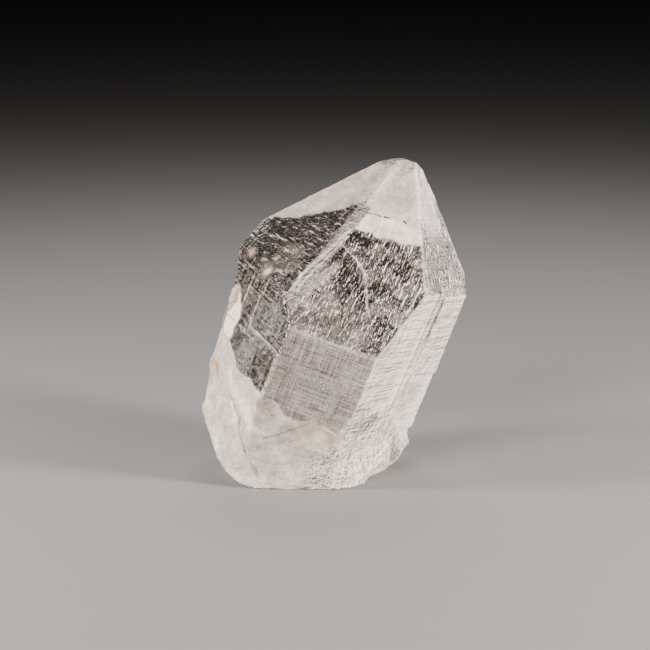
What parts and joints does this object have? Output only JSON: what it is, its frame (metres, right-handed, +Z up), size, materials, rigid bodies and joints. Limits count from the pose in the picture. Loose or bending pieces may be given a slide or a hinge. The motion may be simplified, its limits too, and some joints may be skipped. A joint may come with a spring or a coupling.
{
  "type": "himalayan quartz crystal",
  "caption": "Clear quartz crystal with a worn six-sided point, leaning on a milky, broken foot.",
  "frame": {"origin": "centre of the crystal's outline in plan, on the surface that it stands on", "axes": "+Z up; the broad front point face looks towards -Y; the point leans towards +X"},
  "size_m": [0.0398, 0.0312, 0.0463],
  "materials": {
    "quartz": "clear natural faces with fine growth lines, frosted on the right, milky and rough at the broken foot"
  },
  "bodies": {
    "root": {"quartz_crystal": "quartz"}
  },
  "joints": []
}
